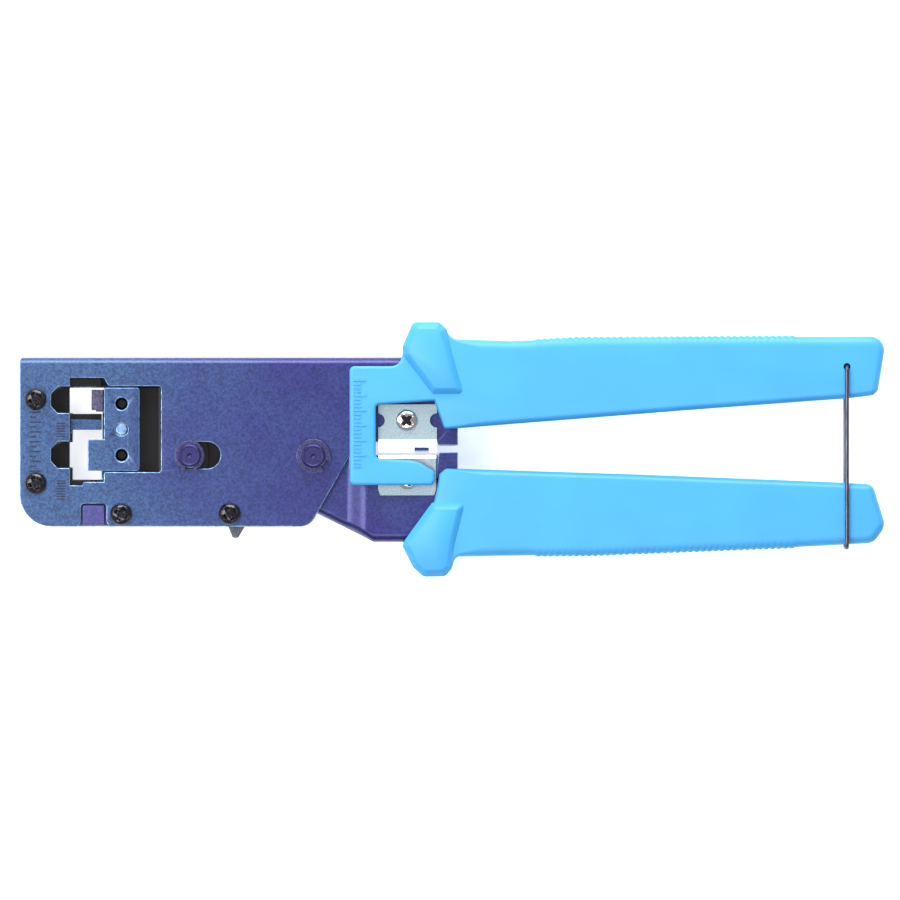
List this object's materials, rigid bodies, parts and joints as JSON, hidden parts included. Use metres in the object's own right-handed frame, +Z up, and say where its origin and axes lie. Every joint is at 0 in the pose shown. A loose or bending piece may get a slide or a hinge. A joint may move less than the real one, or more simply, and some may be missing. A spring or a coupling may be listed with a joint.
{
  "type": "crimping tool",
  "caption": "Modular-plug crimping tool: folded steel frame, toggle-driven die set in a plug window, wire cutter behind the pivot, moulded grips and a wire latch bail.",
  "frame": {"origin": "centre of the bounding box in plan, on the plane that the backs of the finger stops rest on", "axes": "+X from the head to the handle ends, +Y from the moving handle to the fixed one, +Z up out of the working face"},
  "size_m": [0.2075, 0.0612, 0.022],
  "materials": {
    "blued_sheet": "blue-violet baked finish, satin with fine grain",
    "dark_block": "blackened steel, matt",
    "dark_pin": "blackened steel, satin, turned faces",
    "black_screw": "black oxide, semi-gloss",
    "die_steel": "hardened steel, dark satin",
    "ground_blade": "tool steel, blasted flats and a bright ground edge",
    "nickel": "bright nickel plate",
    "spring_steel": "oil-dark spring steel",
    "bail_wire": "drawn spring wire, dark",
    "grip_plastic": "sky blue moulded plastic, satin"
  },
  "bodies": {
    "body": {"body_channel": "blued_sheet", "anvil_block": "dark_block", "bottom_spacer": "blued_sheet", "spring_anchor": "spring_steel", "anvil_screw_upper": "black_screw", "anvil_screw_lower": "black_screw", "spacer_screw": "black_screw", "anchor_screw": "black_screw", "pivot_pin": "dark_pin", "pivot_ring_front": "dark_pin", "pivot_ring_back": "dark_pin", "upper_grip": "grip_plastic", "upper_blade": "ground_blade", "upper_blade_screw": "nickel", "upper_blade_nut": "nickel"},
    "lever": {"lever_channel": "blued_sheet", "crank_pin": "dark_block", "lower_grip": "grip_plastic", "lower_blade": "ground_blade", "lower_blade_screw": "nickel", "lower_blade_nut": "nickel", "return_spring": "spring_steel"},
    "ram": {"ram_block": "dark_block", "die_carrier": "blued_sheet", "die_clamp": "blued_sheet", "die_8p": "die_steel", "die_6p": "die_steel", "die_screw_8p": "black_screw", "die_screw_6p": "black_screw", "die_dowel": "dark_block", "slide_pin": "dark_pin", "slide_ring_front": "dark_pin", "slide_ring_back": "dark_pin"},
    "link": {"toggle_link": "dark_block"},
    "bail": {"latch_bail": "bail_wire"}
  },
  "joints": [
    {"name": "lever_swing", "type": "hinge", "parent": "body", "child": "lever", "pos_m": [-0.0334, -0.00155, 0.011], "axis": [0, 0, -1], "range_deg": [-0.8, 27], "deforming": ["return_spring", "latch_bail"]},
    {"name": "ram_slide", "type": "slide", "parent": "body", "child": "ram", "axis": [1, 0, 0], "range_m": [-0.0002, 0.0036]},
    {"name": "link_swing", "type": "hinge", "parent": "ram", "child": "link", "pos_m": [-0.0631, -0.00145, 0.011], "axis": [0, 0, 1], "range_deg": [-1, 24.5]},
    {"name": "bail_swing", "type": "hinge", "parent": "body", "child": "bail", "pos_m": [0.0946, 0.0199, 0.011], "axis": [0, 0, 1], "range_deg": [-5, 120]}
  ],
  "couplings": [
    {"joint": "ram_slide", "follows": "lever_swing", "m_per_rad": 0.0072935},
    {"joint": "link_swing", "follows": "lever_swing", "ratio": 0.878},
    {"joint": "bail_swing", "follows": "lever_swing", "ratio": 4.4}
  ]
}
